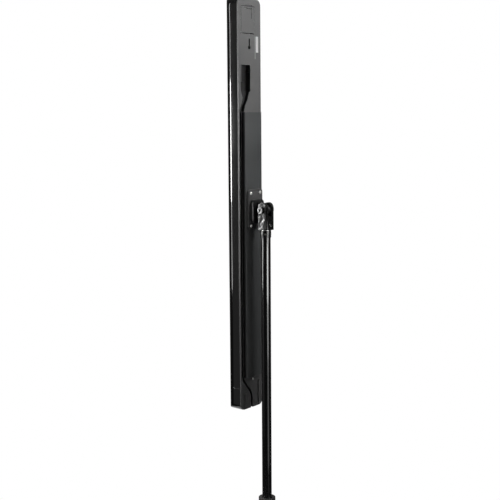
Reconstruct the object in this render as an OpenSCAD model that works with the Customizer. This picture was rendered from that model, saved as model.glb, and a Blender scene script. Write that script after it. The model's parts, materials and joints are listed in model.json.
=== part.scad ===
// Electronic music stand: a slim upright display panel on a tilting fork,
// a telescopic pole and a folding tripod. Millimetres, +Z up, floor at z = 0.
// The panel faces -Y. X runs across the panel.

/* [Panel] */
// Height of the panel
panel_h = 930; // [800:10:1150]
// Width of the panel
panel_w = 79; // [79:1:100]
// Corner radius seen from the back
corner_r = 14; // [12:1:18]
// Front edge radius of the two ends
end_r = 18; // [8:1:20]
// Front edge radius of the two long sides
edge_r = 21; // [10:1:22]
// Wall of the front body and its end caps
shell_t = 2.2; // [1.8:0.1:2.4]
// Thickness of the frame round the glass
front_t = 4; // [3:0.5:5]
// Height of each end cap
cap_h = 52; // [45:1:65]
// Thickness of the back cover
cover_t = 3; // [3:0.5:4]
// Step from the front body in to the back cover
cover_inset = 0.5; // [0.3:0.1:1.5]
// Thickness of the glass
glass_t = 1.8; // [1.5:0.1:2.2]
// Overlap of the frame behind the glass edge
glass_ledge = 2.5; // [2:0.5:4]
// Thickness of the display module
display_t = 2.5; // [2:0.5:3]
// Thickness of the backlight
backlight_t = 3; // [2:0.5:3]
// Gap between the backlight and the battery tray
stack_gap = 12.4; // [5.8:0.1:13]
// Thickness of the circuit board
board_t = 1.6; // [1.2:0.2:2]
// Height of the circuit board
board_h = 300; // [200:10:330]
// Width of the circuit board
board_w = 50; // [40:1:60]

/* [Spine and bracket] */
// Width of the raised spine
spine_w = 57.5; // [50:0.5:57.5]
// Height of the spine above the back cover
spine_rise = 10; // [8:0.5:14]
// Wall of the spine
spine_t = 2.5; // [2:0.5:4]
// Distance from the connector scoop down to the spine
spine_under_scoop = 45; // [42:1:80]
// Distance from the bottom of the panel to the spine
spine_from_bottom = 77; // [75:1:120]
// Width of the mounting plate
plate_w = 49; // [46:1:56]
// Height of the mounting plate
plate_h = 89; // [84:1:110]
// Thickness of the mounting plate
plate_t = 5; // [4:0.5:7]
// Distance between the plate screws, across
screw_pitch_x = 32; // [30:1:38]
// Distance between the plate screws, up
screw_pitch_z = 73; // [72:1:76]
// Diameter of the plate screws
plate_screw_d = 4; // [3:0.5:5]
// Thickness of the bracket's boss
boss_t = 9; // [6:1:12]
// Width of the bracket's boss
boss_w = 38; // [30:1:42]
// Top of the boss above the tilt axis
boss_rise = 21.5; // [18:0.5:26]
// Bottom of the boss below the tilt axis
boss_drop = 30.5; // [20:0.5:30.5]
// Distance from the boss to the tilt axis
neck_len = 20; // [20:1:28]
// Thickness of the bracket's tongue
tongue_t = 11; // [9:0.5:14]
// Radius of the tongue's eye
eye_r = 10; // [9:0.5:11]

/* [Fork] */
// Thickness of each cheek
cheek_t = 7.6; // [6:0.2:10]
// Half depth of the fork at the tilt axis
fork_r = 12.6; // [12:0.2:14]
// Height of the fork above the tilt axis
fork_rise = 16; // [14:0.5:17]
// Depth of the fork below the tilt axis
fork_drop = 45; // [42:1:56]
// Half depth of the fork at its foot
fork_foot_r = 15; // [14:0.5:18]
// Radius of the fork's upright edges
fork_edge_r = 6; // [4:0.5:8]
// Diameter of the tilt bolt
bolt_d = 8; // [6:0.5:10]
// Thickness of a friction washer
washer_t = 0.6; // [0.4:0.1:1.5]
// Diameter of the swivel spigot
spigot_d = 14; // [12:0.5:16]
// Height of the ferrule under the fork
ferrule_h = 16; // [12:1:24]
// Wall of the ferrule
ferrule_t = 1.2; // [1:0.1:2]

/* [Pole] */
// Height of the tilt axis above the floor
pivot_z = 1230; // [1200:5:1330]
// Diameter of the mast tube
mast_d = 22; // [18:0.5:28]
// Wall of the mast tube
mast_wall = 1.5; // [1:0.1:2]
// Length of the mast inside the post
mast_in_post = 284.5; // [230:0.5:400]
// Wall of the clutch bush
bush_t = 1.7; // [1.2:0.1:3]
// Wall of the post tube
post_wall = 1.25; // [1:0.05:2]
// Height of the top of the post
post_top = 548; // [500:1:560]
// Height of the bottom end of the post
post_bottom = 12; // [8:1:14]
// Height of the clutch housing
clutch_h = 58; // [50:1:70]
// Wall of the clutch housing
clutch_t = 5.5; // [5:0.5:8]
// Radial clearance of every sliding or turning fit
fit = 0.05; // [0.03:0.01:0.08]

/* [Tripod] */
// Length of a leg from its pin to its foot
leg_len = 345; // [330:5:420]
// Angle of an open leg from the vertical
leg_angle = 62; // [58:1:64]
// Angle of a folded leg from the vertical
fold_angle = 3; // [3:1:6]
// Distance along a leg to its strut
strut_len = 156.5; // [150:0.5:158]
// Diameter of a leg tube
leg_d = 16; // [14:0.5:18]
// Wall of a leg tube
leg_wall = 1.5; // [1:0.1:2]
// Wall of the two collars
collar_t = 6; // [5:0.5:9]
// Radius of a hinge lug
lug_r = 6; // [5:0.5:6]
// Diameter of the hinge pins
pin_d = 5; // [4:0.5:6]
// Thickness of a strut bar
bar_t = 2.5; // [2:0.5:4]
// Radius of a rubber foot
foot_r = 12; // [11.5:0.5:14]
// Height of the foot's centre above the floor
foot_z = 10; // [9:0.5:11]

/* [Battery bay] */
// Distance from the top of the panel to the door
door_from_top = 16; // [14:1:20]
// Room along the cells, besides their contacts
door_slack_z = 5.5; // [5.5:0.5:10]
// Room beside the cells
door_slack_x = 2.2; // [2:0.1:5]
// Middle of the battery door across the panel
door_x = 5.3; // [4:0.1:6]
// Thickness of the battery door
door_t = 2.4; // [2:0.1:2.8]
// Gap round the battery door
door_gap = 1.4; // [0.4:0.05:1.5]
// Diameter of a cell
cell_d = 14.2; // [10:0.1:14.6]
// Length of a cell
cell_len = 50; // [44:0.5:50.5]
// Wall of the battery tray
tray_t = 1.5; // [1:0.1:2]

/* [Cable route] */
// Width of the cable channel
groove_w = 6.4; // [5:0.1:6.4]
// Depth of the cable channel
groove_d = 8; // [6:0.5:9]
// Wall of the channel and of the scoop
well_t = 1.2; // [1:0.1:1.4]
// Distance from the keyhole's centre down to the connector scoop
scoop_under_keyhole = 38; // [30:1:60]
// Height of the connector scoop
scoop_h = 59; // [55:1:62]
// Depth of the connector scoop
scoop_d = 12; // [11:0.5:13]
// Diameter of the keyhole
keyhole_d = 9; // [8:0.5:10]
// Width of the keyhole's slot
keyhole_slot = 4.5; // [4:0.25:5]
// Distance from the battery door down to the keyhole's centre
keyhole_under_door = 29; // [27:1:45]

/* [Hidden] */
$fn = 64;
eps = 0.01;

// Panel, measured from its middle, with y = 0 at its back
cell_room = 1;
panel_d = front_t + display_t + backlight_t + stack_gap + tray_t + cell_d + 2 * cell_room + cover_t;
top_z = panel_h / 2;
body_half_h = top_z - cap_h;
glass_w = panel_w - 2 * edge_r - 1;
glass_h = 2 * body_half_h - 12;
display_y = -panel_d + front_t;
backlight_y = display_y + display_t;
stack_y = backlight_y + backlight_t;
display_w = glass_w + 12;
display_h = 2 * body_half_h - 16;
spine_bottom = -top_z + spine_from_bottom;
pivot_back = spine_rise + plate_t + boss_t + neck_len;
plate_y = -neck_len - boss_t;
board_gap = 5.5;
board_y = stack_y + board_gap;

// Battery bay
cell_pitch = cell_d + 0.4;
contact_len = 5.5;
door_w = 3 * cell_pitch + door_slack_x;
door_h = cell_len + contact_len + door_slack_z;
door_top = top_z - door_from_top;
door_bottom = door_top - door_h;
door_left = door_x - door_w / 2;
hinge_r = cover_t / 2;
hinge_y = -hinge_r;
hinge_z = door_bottom + door_gap + hinge_r;
hinge_pin_r = 1;
tray_floor_y = -cell_d - 2 * cell_room - cover_t;
cell_y = -cover_t - cell_room - cell_d / 2;
cell_bottom = door_bottom + contact_len + 0.5;
tab_w = 25.7;
tab_h = 22;
tab_x = 3.1;
tab_top = door_top - 6;
slot_w = 1.8;
notch_h = 2.4;
notch_d = 1.6;

// Cable route
groove_x = spine_w / 2 + 0.45 + groove_w / 2;
bend_top = spine_bottom + 6;
bend_bottom = -top_z + 25;
bend_steps = 14;
keyhole_z = door_bottom - keyhole_under_door;
scoop_top = keyhole_z - scoop_under_keyhole;
scoop_bottom = scoop_top - scoop_h;
spine_top = scoop_bottom - spine_under_scoop;
board_top = spine_top - 25;
scoop_deep_x = -3;
scoop_lip_x = 31.6;
groove_top = spine_top - 10;
keyhole_rise = 20;
pocket_d = 8;
inlet_y = -6.5;
inlet_z = scoop_top - 14;
inlet_r = 4;
inlet_hole_r = 2.8;

// Pole
mast_r = mast_d / 2;
mast_bore = mast_r - mast_wall;
bush_bore = mast_r + fit;
post_bore = bush_bore + bush_t;
post_r = post_bore + post_wall;
clutch_r = post_r + clutch_t;
bush_flange = 4;
clutch_bottom = post_top + bush_flange + 6 - clutch_h;
clamp_z = clutch_bottom + 25;
clamp_r = 3;
plug_lip = 1.2;
swivel_gap = 0.3;
mast_top = -fork_drop - swivel_gap - plug_lip;
mast_bottom_z = post_top - mast_in_post;
slot_half = tongue_t / 2 + fit + washer_t;
fork_half_w = slot_half + cheek_t;
slot_bottom = -eye_r - 4;
cheek_boss_r = bolt_d / 2 + 4.2;
cheek_boss_t = 1.75;
screw_groove_z = -fork_drop + 11.5;

// Tripod
collar_r = post_r + collar_t;
hinge_radius = collar_r + lug_r + 1;
upper_z = foot_z + leg_len * cos(leg_angle);
lower_z = upper_z - 2 * strut_len * cos(leg_angle);
foot_radius = hinge_radius + leg_len * sin(leg_angle);
post_y = -foot_radius / 4;
leg_r = leg_d / 2;
leg_bore = leg_r - leg_wall;
lug_half = leg_r + 0.9;
bar_in = leg_r + 1;
bar_out = bar_in + bar_t;
tongue_half = 4.1;
leg_start = 17;
pin_r = pin_d / 2;
leg_directions = [90, 210, 330];
knob_direction = 30;

// ---------- Helpers ----------

module rounded_rect(w, h, r) {
    square([w - 2 * r, h], center = true);
    square([w, h - 2 * r], center = true);
    for (sx = [-1, 1], sy = [-1, 1])
        translate([sx * (w / 2 - r), sy * (h / 2 - r)]) circle(r);
}

// An outline drawn in x and z, carried along y
module along_y(y0, y1) {
    translate([0, y1, 0]) rotate([90, 0, 0]) linear_extrude(y1 - y0) children();
}

// An outline drawn in y and z, carried along x
module along_x(x0, x1) {
    translate([x0, 0, 0]) rotate([90, 0, 90]) linear_extrude(x1 - x0) children();
}

module rod_x(r, x0, x1) {
    translate([x0, 0, 0]) rotate([0, 90, 0]) cylinder(r = r, h = x1 - x0);
}

module rod_y(r, y0, y1) {
    translate([0, y1, 0]) rotate([90, 0, 0]) cylinder(r = r, h = y1 - y0);
}

module rod_z(r, z0, z1) {
    translate([0, 0, z0]) cylinder(r = r, h = z1 - z0);
}

module ring_z(r_out, r_in, z0, z1) {
    difference() {
        rod_z(r_out, z0, z1);
        rod_z(r_in, z0 - 1, z1 + 1);
    }
}

// A box given by its lowest and highest corners
module span(low, high) {
    translate(low) cube(high - low);
}

module at_panel() {
    translate([0, post_y - pivot_back, pivot_z]) children();
}

module at_pivot() {
    translate([0, post_y, pivot_z]) children();
}

module at_post() {
    translate([0, post_y, 0]) children();
}

// Out to a hinge pin of leg n: x points away from the post
module at_hinge(n, z) {
    at_post() rotate([0, 0, leg_directions[n]]) translate([hinge_radius, 0, z]) children();
}

// A leg's own frame: z runs from the pin to the foot
module along_leg(n) {
    at_hinge(n, upper_z) rotate([0, 180 - leg_angle, 0]) children();
}

// A strut's own frame: z runs from the lower pin to the leg
module along_strut(n) {
    at_hinge(n, lower_z) rotate([0, leg_angle, 0]) children();
}

// ---------- Panel ----------

// The outer form of the panel, moved in by inset on every side
module panel_form(inset) {
    wide = panel_w - 2 * inset;
    tall = panel_h - 2 * inset;
    deep = 2 * (panel_d - inset);
    intersection() {
        along_y(-panel_d, panel_d) rounded_rect(wide, tall, corner_r - inset);
        along_x(-panel_w, panel_w) rounded_rect(deep, tall, end_r - inset);
        linear_extrude(panel_h, center = true) rounded_rect(wide, deep, edge_r - inset);
    }
}

// The wall of the panel between two heights, open at the back
module panel_shell(z0, z1) {
    difference() {
        intersection() {
            panel_form(0);
            span([-panel_w, -panel_d - 1, z0], [panel_w, -cover_t, z1]);
        }
        intersection() {
            panel_form(shell_t);
            span([-panel_w, -panel_d + front_t, -panel_h], [panel_w, 1, panel_h]);
        }
    }
}

module front_body() {
    window_w = glass_w - 2 * glass_ledge;
    window_h = glass_h - 2 * glass_ledge;
    color("black") at_panel() difference() {
        panel_shell(-body_half_h, body_half_h);
        along_y(-panel_d - 1, -panel_d + glass_t) rounded_rect(glass_w, glass_h, 3);
        along_y(-panel_d - 1, 0) rounded_rect(window_w, window_h, 2);
    }
}

module top_cap() {
    color("black") at_panel() panel_shell(body_half_h, top_z);
}

module bottom_cap() {
    room = well_t + 0.3;
    color("black") at_panel() difference() {
        panel_shell(-top_z, -body_half_h);
        along_y(-groove_d - room, 1) channel_outline(room, 1);
    }
}

module screen_glass() {
    gap = 0.1;
    color("black") at_panel()
        along_y(-panel_d, -panel_d + glass_t) rounded_rect(glass_w - 2 * gap, glass_h - 2 * gap, 3 - gap);
}

module display_module() {
    color("dimgray") at_panel()
        along_y(display_y, backlight_y) square([display_w, display_h], center = true);
}

module backlight() {
    color("white") at_panel()
        along_y(backlight_y, stack_y) square([display_w, display_h], center = true);
}

module board_places() {
    for (sx = [-1, 1], z = [board_top - 8, board_top - board_h + 8])
        translate([sx * (board_w / 2 - 5), 0, z]) children();
}

module main_board() {
    chip_t = 1.2;
    color("darkgreen") at_panel() {
        difference() {
            span([-board_w / 2, board_y, board_top - board_h], [board_w / 2, board_y + board_t, board_top]);
            board_places() rod_y(1.6, board_y - 1, board_y + board_t + 1);
        }
        for (k = [0:3])
            translate([0, board_y + board_t, board_top - 45 - k * 60])
                span([-7, -eps, -7], [7, chip_t, 7]);
    }
}

module board_spacers() {
    color("gold") at_panel() board_places() {
        rod_y(3, stack_y, board_y);
        rod_y(1.6, board_y - eps, board_y + board_t + 1);
    }
}

// The plan of the cable channel: straight beside the spine, then round to the bottom middle
function bend_x(t) = groove_x * (1 + cos(180 * t)) / 2;
function bend_z(t) = bend_top + (bend_bottom - bend_top) * t;
function bend_half(t, grow) =
    (groove_w / 2 + grow) * sqrt(1 + pow(groove_x * PI / 2 * sin(180 * t) / (bend_top - bend_bottom), 2));

module channel_outline(grow, past) {
    half = groove_w / 2 + grow;
    steps = [0:bend_steps];
    translate([groove_x - half, bend_top]) square([2 * half, groove_top + grow - bend_top]);
    polygon(concat(
        [for (k = steps) let (t = k / bend_steps) [bend_x(t) - bend_half(t, grow), bend_z(t)]],
        [for (k = steps) let (t = 1 - k / bend_steps) [bend_x(t) + bend_half(t, grow), bend_z(t)]]
    ));
    translate([-half, -top_z + cover_inset - past])
        square([2 * half, bend_bottom + top_z - cover_inset + past]);
}

// The plan of the run from the scoop down to the channel, which pinches in and turns to its side
module lead_in_outline() {
    left = groove_x + groove_w / 2;
    right = groove_x - groove_w / 2;
    polygon([
        [scoop_deep_x, scoop_bottom + 22], [scoop_deep_x, scoop_bottom + 13],
        [scoop_deep_x + 9.5, scoop_bottom - 16], [scoop_deep_x + 19.5, spine_top + 13],
        [scoop_deep_x + 22.5, spine_top + 0.5], [right, spine_top + 0.5],
        [right, groove_top - 1], [left, groove_top - 1],
        [left, spine_top + 5], [left - 5, spine_top + 14],
        [left - 11, scoop_bottom - 14], [scoop_lip_x - 1, scoop_bottom + 4],
        [scoop_lip_x - 1, scoop_bottom + 22]
    ]);
}

module keyhole_outline() {
    translate([0, keyhole_z]) circle(d = keyhole_d);
    translate([-keyhole_slot / 2, keyhole_z]) square([keyhole_slot, keyhole_rise - keyhole_slot / 2]);
    translate([0, keyhole_z + keyhole_rise - keyhole_slot / 2]) circle(d = keyhole_slot);
}

module scoop_cut() {
    translate([0, 0, scoop_bottom]) linear_extrude(scoop_h)
        polygon([[scoop_lip_x, 0], [scoop_deep_x, -scoop_d], [scoop_deep_x, 1], [scoop_lip_x, 1]]);
    along_y(-groove_d, 1) lead_in_outline();
    translate([0, inlet_y, inlet_z]) rod_x(inlet_r, scoop_deep_x - 3, scoop_deep_x + 1);
}

module back_wells() {
    back = -cover_t + eps;
    // Under the scoop
    span([scoop_deep_x - well_t, -scoop_d - well_t, scoop_bottom], [scoop_lip_x, back, scoop_top + well_t]);
    // Under the run to the channel
    span([scoop_deep_x - well_t, -groove_d - well_t, groove_top],
         [groove_x + groove_w / 2 + well_t, back, scoop_bottom + eps]);
    along_y(-groove_d - well_t, back) channel_outline(well_t, 0);
    // Behind the keyhole
    span([-keyhole_d / 2 - 3.5, -cover_t - pocket_d, keyhole_z - keyhole_d / 2 - 3.5],
         [keyhole_d / 2 + 3.5, back, keyhole_z + keyhole_rise + 2.5]);
}

module back_cover() {
    color("dimgray") at_panel() difference() {
        union() {
            along_y(-cover_t, 0)
                rounded_rect(panel_w - 2 * cover_inset, panel_h - 2 * cover_inset, corner_r - cover_inset);
            back_wells();
        }
        scoop_cut();
        along_y(-groove_d, 1) channel_outline(0, 1);
        along_y(-cover_t - 1, 1) keyhole_outline();
        span([-keyhole_d / 2 - 2.3, -cover_t - pocket_d + well_t, keyhole_z - keyhole_d / 2 - 2.3],
             [keyhole_d / 2 + 2.3, -cover_t, keyhole_z + keyhole_rise + 1.3]);
        span([door_left, -cover_t - 1, door_bottom], [door_left + door_w, 1, door_top]);
        // Finger notch over the door
        span([tab_x - tab_w / 2, -notch_d, door_top - eps], [tab_x + tab_w / 2, 1, door_top + notch_h]);
        translate([0, hinge_y, hinge_z])
            rod_x(hinge_pin_r + fit, door_left - 2, door_left + door_w + 2);
    }
}

module battery_tray() {
    inner_low = [door_left + 0.3, tray_floor_y, door_bottom + 0.5];
    inner_high = [door_left + door_w - 0.3, 0, cell_bottom + cell_len + 0.5];
    wall = [tray_t, tray_t, tray_t];
    color("gray") at_panel() difference() {
        span(inner_low - wall, [inner_high[0] + tray_t, -cover_t, inner_high[2] + tray_t]);
        span(inner_low, inner_high);
    }
}

module cell_places() {
    for (k = [-1:1]) translate([door_x + k * cell_pitch, cell_y, 0]) children();
}

module cells() {
    nub_r = 2.7;
    nub_h = 1.2;
    color("steelblue") at_panel() cell_places() {
        rod_z(cell_d / 2, cell_bottom, cell_bottom + cell_len - nub_h);
        rod_z(nub_r, cell_bottom + cell_len - nub_h - eps, cell_bottom + cell_len);
    }
}

// A flat plate on the far wall and a coned spring at the near one, for each cell
module cell_contacts() {
    turns = 4;
    wire = 0.9;
    color("silver") at_panel() cell_places() {
        span([-5, -5, cell_bottom + cell_len], [5, 5, cell_bottom + cell_len + 0.5]);
        rod_z(5, cell_bottom - contact_len, cell_bottom - contact_len + 0.4);
        for (k = [0:turns - 1])
            translate([0, 0, cell_bottom - contact_len + 0.4 + k * (contact_len - 0.4) / turns])
                ring_z(4.8 - 0.6 * k, 4.8 - 0.6 * k - wire, 0, (contact_len - 0.4) / turns);
    }
}

module battery_door() {
    left = door_left + door_gap;
    right = door_left + door_w - door_gap;
    tab_left = tab_x - tab_w / 2;
    color("dimgray") at_panel() {
        difference() {
            union() {
                span([left, -door_t, hinge_z], [right, 0, door_top - door_gap]);
                translate([0, hinge_y, hinge_z]) rod_x(hinge_r, left, right);
            }
            span([tab_left, -door_t - 1, tab_top], [tab_left + tab_w, 1, tab_top + slot_w]);
            span([tab_left, -door_t - 1, tab_top - tab_h], [tab_left + slot_w, 1, tab_top + slot_w]);
        }
        translate([0, hinge_y, hinge_z]) {
            rod_x(hinge_pin_r, left - door_gap - 1.4, left + eps);
            rod_x(hinge_pin_r, right - eps, right + door_gap + 1.4);
        }
    }
}

module power_inlet() {
    body_end = scoop_deep_x - 15;
    color("black") at_panel() translate([0, inlet_y, inlet_z]) {
        difference() {
            union() {
                rod_x(inlet_r, scoop_deep_x - well_t - eps, scoop_deep_x);
                span([body_end, -4.6, -5.5], [scoop_deep_x - well_t, -cover_t - inlet_y - 0.1, 5.5]);
            }
            rod_x(inlet_hole_r, scoop_deep_x - 10, scoop_deep_x + 1);
        }
        rod_x(1, scoop_deep_x - 10 - eps, scoop_deep_x - 1);
    }
}

module spine() {
    inner = spine_rise - spine_t;
    color("dimgray") at_panel() difference() {
        span([-spine_w / 2, 0, spine_bottom], [spine_w / 2, spine_rise, spine_top]);
        span([-spine_w / 2 + spine_t, -1, spine_bottom + spine_t],
             [spine_w / 2 - spine_t, inner, spine_top - spine_t]);
        for (sx = [-1, 1], sz = [-1, 1])
            translate([sx * screw_pitch_x / 2, 0, sz * screw_pitch_z / 2])
                rod_y(plate_screw_d / 2, inner - 1, spine_rise + 1);
    }
}

module spine_screw() {
    color("silver") at_panel() translate([-4, 0, spine_bottom - 9]) difference() {
        rod_y(2.8, 0, 1.6);
        rod_y(1.1, 0.6, 2);
    }
}

module tilt_bracket() {
    color("darkslategray") at_pivot() difference() {
        union() {
            along_y(plate_y - plate_t, plate_y) rounded_rect(plate_w, plate_h, 6);
            translate([0, 0, (boss_rise - boss_drop) / 2])
                along_y(plate_y - eps, -neck_len) rounded_rect(boss_w, boss_rise + boss_drop, 8);
            along_x(-tongue_t / 2, tongue_t / 2) {
                circle(eye_r);
                translate([-neck_len - eps, -eye_r]) square([neck_len, 2 * eye_r]);
                polygon([[-neck_len - eps, -16], [-neck_len - eps, 16], [-8, eye_r], [-8, -eye_r]]);
            }
        }
        rod_x(bolt_d / 2 + fit, -tongue_t, tongue_t);
        for (sx = [-1, 1], sz = [-1, 1])
            translate([sx * screw_pitch_x / 2, 0, sz * screw_pitch_z / 2])
                rod_y(plate_screw_d / 2, plate_y - plate_t - 1, plate_y + 1);
    }
}

module plate_screws() {
    head_r = plate_screw_d * 0.95;
    head_h = 2.2;
    color("silver") at_pivot()
        for (sx = [-1, 1], sz = [-1, 1])
            translate([sx * screw_pitch_x / 2, 0, sz * screw_pitch_z / 2]) difference() {
                union() {
                    rod_y(plate_screw_d / 2, plate_y - plate_t - spine_t, plate_y + eps);
                    rod_y(head_r, plate_y, plate_y + head_h);
                }
                rod_y(1.3, plate_y + 0.9, plate_y + head_h + 1);
            }
}

module pad(x, z0, z1) {
    pad_w = 9;
    pad_t = 3;
    color("black") at_panel() translate([x, 0, (z0 + z1) / 2])
        along_y(0, pad_t) rounded_rect(pad_w, z1 - z0, pad_w / 2 - eps);
}

module pad_short() {
    pad(22, -top_z + 8, -top_z + 38);
}

module pad_long() {
    pad(-26, -top_z + 4, -top_z + 63);
}

module rating_label() {
    color("white") at_panel() span([-30.6, 0, door_bottom - 39], [-22.6, 0.2, door_bottom - 4]);
}

// ---------- Fork ----------

module fork() {
    arch_z = fork_rise - fork_r;
    color("black") at_pivot() difference() {
        union() {
            intersection() {
                along_x(-fork_half_w, fork_half_w) {
                    translate([0, arch_z]) circle(fork_r);
                    polygon([[-fork_r, arch_z], [fork_r, arch_z],
                             [fork_foot_r, -fork_drop], [-fork_foot_r, -fork_drop]]);
                }
                translate([0, 0, -fork_drop]) linear_extrude(fork_drop + fork_rise)
                    rounded_rect(2 * fork_half_w, 2 * fork_foot_r, fork_edge_r);
            }
            rod_x(cheek_boss_r, -fork_half_w - cheek_boss_t, fork_half_w + cheek_boss_t);
        }
        span([-slot_half, -fork_foot_r - 5, slot_bottom], [slot_half, fork_foot_r + 5, fork_rise + 5]);
        rod_x(bolt_d / 2, -fork_half_w - 5, fork_half_w + 5);
        rod_z(spigot_d / 2 + fit, -fork_drop - 1, slot_bottom - 6);
        translate([0, 0, screw_groove_z]) rod_y(2.5, 0, fork_foot_r + 5);
    }
}

module friction_washers() {
    color("gray") at_pivot() for (side = [0, 1]) mirror([side, 0, 0]) difference() {
        rod_x(eye_r - 0.5, slot_half - washer_t, slot_half);
        rod_x(bolt_d / 2, 0, slot_half + 1);
    }
}

module clevis_bolt() {
    seat = fork_half_w + cheek_boss_t;
    head_r = bolt_d * 0.8;
    head_h = 5;
    socket = 7;
    color("black") at_pivot() difference() {
        union() {
            rod_x(bolt_d / 2, -seat - 7, seat + eps);
            rod_x(head_r, seat, seat + head_h);
        }
        translate([seat + head_h - 3, 0, 0]) rotate([0, 90, 0]) cylinder(d = socket, h = 4, $fn = 6);
    }
}

module lock_nut() {
    seat = fork_half_w + cheek_boss_t;
    color("silver") at_pivot() difference() {
        translate([-seat - 6, 0, 0]) rotate([0, 90, 0]) cylinder(r = bolt_d * 0.95, h = 6, $fn = 6);
        rod_x(bolt_d / 2, -seat - 7, -seat + 1);
    }
}

module swivel_screw() {
    tip = spigot_d / 2 - 1.1;
    color("silver") at_pivot() translate([0, 0, screw_groove_z]) difference() {
        union() {
            rod_y(2, tip, tip + 2);
            rod_y(2.5, tip + 2 - eps, fork_foot_r - 1.5);
        }
        rod_y(1.2, fork_foot_r - 4, fork_foot_r);
    }
}

// ---------- Pole ----------

module mast_tube() {
    color("black") at_post() ring_z(mast_r, mast_bore, mast_bottom_z, pivot_z + mast_top);
}

module mast_plug() {
    color("silver") at_pivot() difference() {
        union() {
            rod_z(mast_bore, mast_top - 28, mast_top + eps);
            rod_z(mast_r, mast_top, mast_top + plug_lip);
            rod_z(spigot_d / 2, mast_top + plug_lip - eps, slot_bottom - 7);
        }
        ring_z(spigot_d / 2 + 1, spigot_d / 2 - 1.4, screw_groove_z - 2.5, screw_groove_z + 2.5);
    }
}

module ferrule() {
    color("black") at_pivot() difference() {
        ring_z(mast_r + ferrule_t, mast_r, mast_top - ferrule_h, mast_top);
        for (turn = [35, 145])
            translate([0, 0, mast_top - ferrule_h / 2]) rotate([0, 0, turn]) rod_x(2, mast_r - 1, mast_r + 3);
    }
}

module ferrule_screws() {
    color("silver") at_pivot()
        for (turn = [35, 145])
            translate([0, 0, mast_top - ferrule_h / 2]) rotate([0, 0, turn]) difference() {
                rod_x(2, mast_r + 0.1, mast_r + ferrule_t + 0.4);
                rod_x(0.9, mast_r + ferrule_t - 0.4, mast_r + ferrule_t + 1);
            }
}

module mast_guide() {
    color("dimgray") at_post() {
        rod_z(post_bore - fit, mast_bottom_z - 14, mast_bottom_z);
        rod_z(mast_bore, mast_bottom_z - eps, mast_bottom_z + 15);
    }
}

module post_tube() {
    color("black") at_post() difference() {
        ring_z(post_r, post_bore, post_bottom, post_top);
        translate([0, 0, clamp_z]) rod_x(clamp_r + 0.3, 0, post_r + 2);
    }
}

module post_foot() {
    color("black") at_post() {
        rod_z(post_r, post_bottom - 4, post_bottom);
        rod_z(post_bore, post_bottom - eps, post_bottom + 20);
    }
}

module clutch_bush() {
    color("gray") at_post() difference() {
        union() {
            rod_z(post_bore, post_top - 50, post_top + eps);
            rod_z(post_r, post_top, post_top + bush_flange);
        }
        rod_z(bush_bore, post_top - 51, post_top + bush_flange + 1);
    }
}

module height_clutch() {
    clutch_top = clutch_bottom + clutch_h;
    color("black") at_post() difference() {
        union() {
            rod_z(clutch_r, clutch_bottom, clutch_top);
            translate([0, 0, clamp_z]) rod_x(9, 0, clutch_r + 11);
        }
        rod_z(post_r, clutch_bottom - 1, post_top + bush_flange);
        rod_z(mast_r + 0.4, clutch_bottom, clutch_top + 1);
        translate([0, 0, clamp_z]) rod_x(clamp_r + fit, 0, clutch_r + 12);
    }
}

// A three-lobed hand knob: x points out from the pole
module knob_form(start) {
    difference() {
        union() {
            rod_x(10, start, start + 18);
            for (turn = [0, 120, 240])
                rotate([turn, 0, 0]) translate([0, 0, 12]) rod_x(7, start + 4, start + 18);
        }
        rod_x(clamp_r, start - 1, start + 13);
    }
}

module clamp_screw() {
    color("silver") at_post() translate([0, 0, clamp_z])
        rod_x(clamp_r, post_bore + 0.1, clutch_r + 11.5 + 13);
}

module clamp_knob() {
    color("black") at_post() translate([0, 0, clamp_z]) knob_form(clutch_r + 11.5);
}

// ---------- Tripod ----------

module lower_collar() {
    color("black") difference() {
        union() {
            at_post() rod_z(collar_r, lower_z - 10, lower_z + 10);
            for (n = [0:2]) at_hinge(n, lower_z) rotate([90, 0, 0]) translate([0, 0, -lug_half]) {
                cylinder(r = lug_r, h = 2 * lug_half);
                translate([-hinge_radius + post_r, -lug_r, 0])
                    cube([hinge_radius - post_r, 2 * lug_r, 2 * lug_half]);
            }
        }
        at_post() rod_z(post_r, lower_z - 11, lower_z + 11);
        for (n = [0:2]) at_hinge(n, lower_z) rod_y(pin_r, -lug_half - 1, lug_half + 1);
    }
}

module lower_pins() {
    color("silver") for (n = [0:2]) at_hinge(n, lower_z) {
        rod_y(pin_r, -bar_out - 0.2, bar_out + 0.2);
        for (side = [0, 1]) mirror([0, side, 0])
            rod_y(pin_r + 2, bar_out + 0.1, bar_out + 1.8);
    }
}

module leg_collar() {
    cheek = leg_r + 0.5;
    color("black") difference() {
        union() {
            at_post() rod_z(collar_r, upper_z - 10, upper_z + 14);
            for (n = [0:2]) at_hinge(n, upper_z) rotate([90, 0, 0]) translate([0, 0, -cheek]) {
                cylinder(r = lug_r, h = 2 * cheek);
                translate([-hinge_radius + post_r + 1, -lug_r, 0])
                    cube([hinge_radius - post_r - 1, 2 * lug_r, 2 * cheek]);
            }
            at_post() rotate([0, 0, knob_direction]) translate([0, 0, upper_z + 2])
                rod_x(8, 0, collar_r + 8);
        }
        at_post() rod_z(post_r + fit, upper_z - 11, upper_z + 15);
        for (n = [0:2]) at_hinge(n, upper_z) {
            rod_y(pin_r, -cheek - 1, cheek + 1);
            span([-lug_r - 0.5, -tongue_half - 0.1, -lug_r - 5], [lug_r + 5, tongue_half + 0.1, lug_r + 5]);
        }
        at_post() rotate([0, 0, knob_direction]) translate([0, 0, upper_z + 2])
            rod_x(clamp_r + fit, 0, collar_r + 9);
    }
}

module upper_pins() {
    cheek = leg_r + 0.5;
    color("silver") for (n = [0:2]) at_hinge(n, upper_z) {
        rod_y(pin_r, -cheek - eps, cheek + eps);
        for (side = [0, 1]) mirror([0, side, 0]) rod_y(pin_r + 1.5, cheek, cheek + 1.6);
    }
}

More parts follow.
